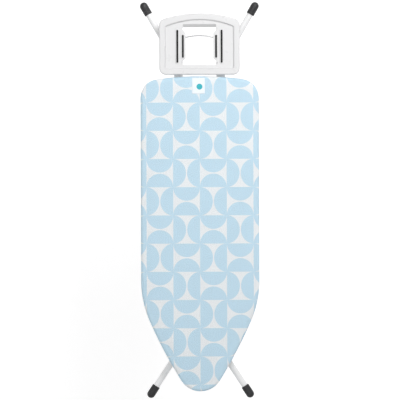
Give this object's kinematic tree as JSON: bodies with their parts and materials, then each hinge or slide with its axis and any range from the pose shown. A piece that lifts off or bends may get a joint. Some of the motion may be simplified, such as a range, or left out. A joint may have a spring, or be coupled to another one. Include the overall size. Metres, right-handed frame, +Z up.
{
  "type": "ironing board",
  "caption": "Folding ironing board with a padded cloth cover, an iron rest with heat-proof strips and a scissor leg frame with height lock, folded flat.",
  "frame": {"origin": "middle of the bounding box at its lowest level: below the scissor's cross pivot, on the plane that the foot caps rest on", "axes": "+X along the board from the rounded nose to the iron rest, +Y to the left looking along +X, +Z up, square to the ironing surface"},
  "size_m": [1.577, 0.474, 0.103],
  "materials": {
    "foam": "open-cell foam",
    "cover_fabric": "woven cotton, printed",
    "label_fabric": "woven label",
    "white_plastic": "satin",
    "black_silicone": "matt",
    "black_cap_plastic": "matt",
    "grip_plastic": "fine texture",
    "nylon": "natural nylon",
    "zinc_steel": "zinc plated",
    "white_paint": "powder coat"
  },
  "bodies": {
    "board": {"deck_panel": "white_paint", "foam_pad": "foam", "cover_cloth": "cover_fabric", "cover_label": "label_fabric", "nose_rib": "white_paint", "front_rib": "white_paint", "middle_rib": "white_paint", "front_crossbar": "white_paint", "heel_crossbar": "white_paint", "front_rail_hangers": "white_paint", "heel_rail_hangers": "white_paint", "slide_rail_left": "white_paint", "slide_rail_right": "white_paint", "hinge_bracket_left": "zinc_steel", "hinge_bracket_right": "zinc_steel", "hinge_rod": "zinc_steel", "hinge_rod_caps": "black_cap_plastic", "rack_bracket": "zinc_steel", "rack_pin": "zinc_steel", "rack_spring": "zinc_steel", "rest_tray": "white_plastic", "rest_outer_strip_left": "black_silicone", "rest_outer_strip_right": "black_silicone", "rest_inner_strip_left": "black_silicone", "rest_inner_strip_right": "black_silicone", "rest_arm_left": "white_paint", "rest_arm_right": "white_paint", "rest_bow": "zinc_steel", "rest_screws": "zinc_steel"},
    "outer_leg": {"outer_leg_tube_left": "white_paint", "outer_leg_tube_right": "white_paint", "outer_leg_hinge_tube": "white_paint", "outer_leg_brace": "white_paint", "hinge_bushes": "nylon", "outer_foot_cap_left": "black_cap_plastic", "outer_foot_cap_right": "black_cap_plastic", "cross_pivot_bolts": "zinc_steel", "cross_pivot_nuts": "zinc_steel", "cross_pivot_spacers": "nylon"},
    "inner_leg": {"inner_leg_tube_left": "white_paint", "inner_leg_tube_right": "white_paint", "inner_leg_brace": "white_paint", "slide_rod": "zinc_steel", "slide_bush_left": "nylon", "slide_bush_right": "nylon", "inner_leg_plugs": "black_cap_plastic", "inner_foot_cap_left": "black_cap_plastic", "inner_foot_cap_right": "black_cap_plastic"},
    "height_lever": {"height_rack": "zinc_steel", "release_arm": "white_paint", "release_grip": "grip_plastic"}
  },
  "joints": [
    {"name": "legs_fold", "type": "hinge", "parent": "board", "child": "outer_leg", "pos_m": [-0.44973, 0, 0.05868], "axis": [0, 1, 0], "range_deg": [0, 47]},
    {"name": "legs_cross", "type": "hinge", "parent": "outer_leg", "child": "inner_leg", "pos_m": [0, 0, 0.04298], "axis": [0, 1, 0], "range_deg": [-94, 0]},
    {"name": "lever_lock", "type": "hinge", "parent": "board", "child": "height_lever", "pos_m": [-0.2075, 0, 0.06909], "axis": [0, 1, 0], "range_deg": [0, 1]}
  ],
  "couplings": [
    {"joint": "legs_cross", "follows": "legs_fold", "ratio": -2}
  ]
}
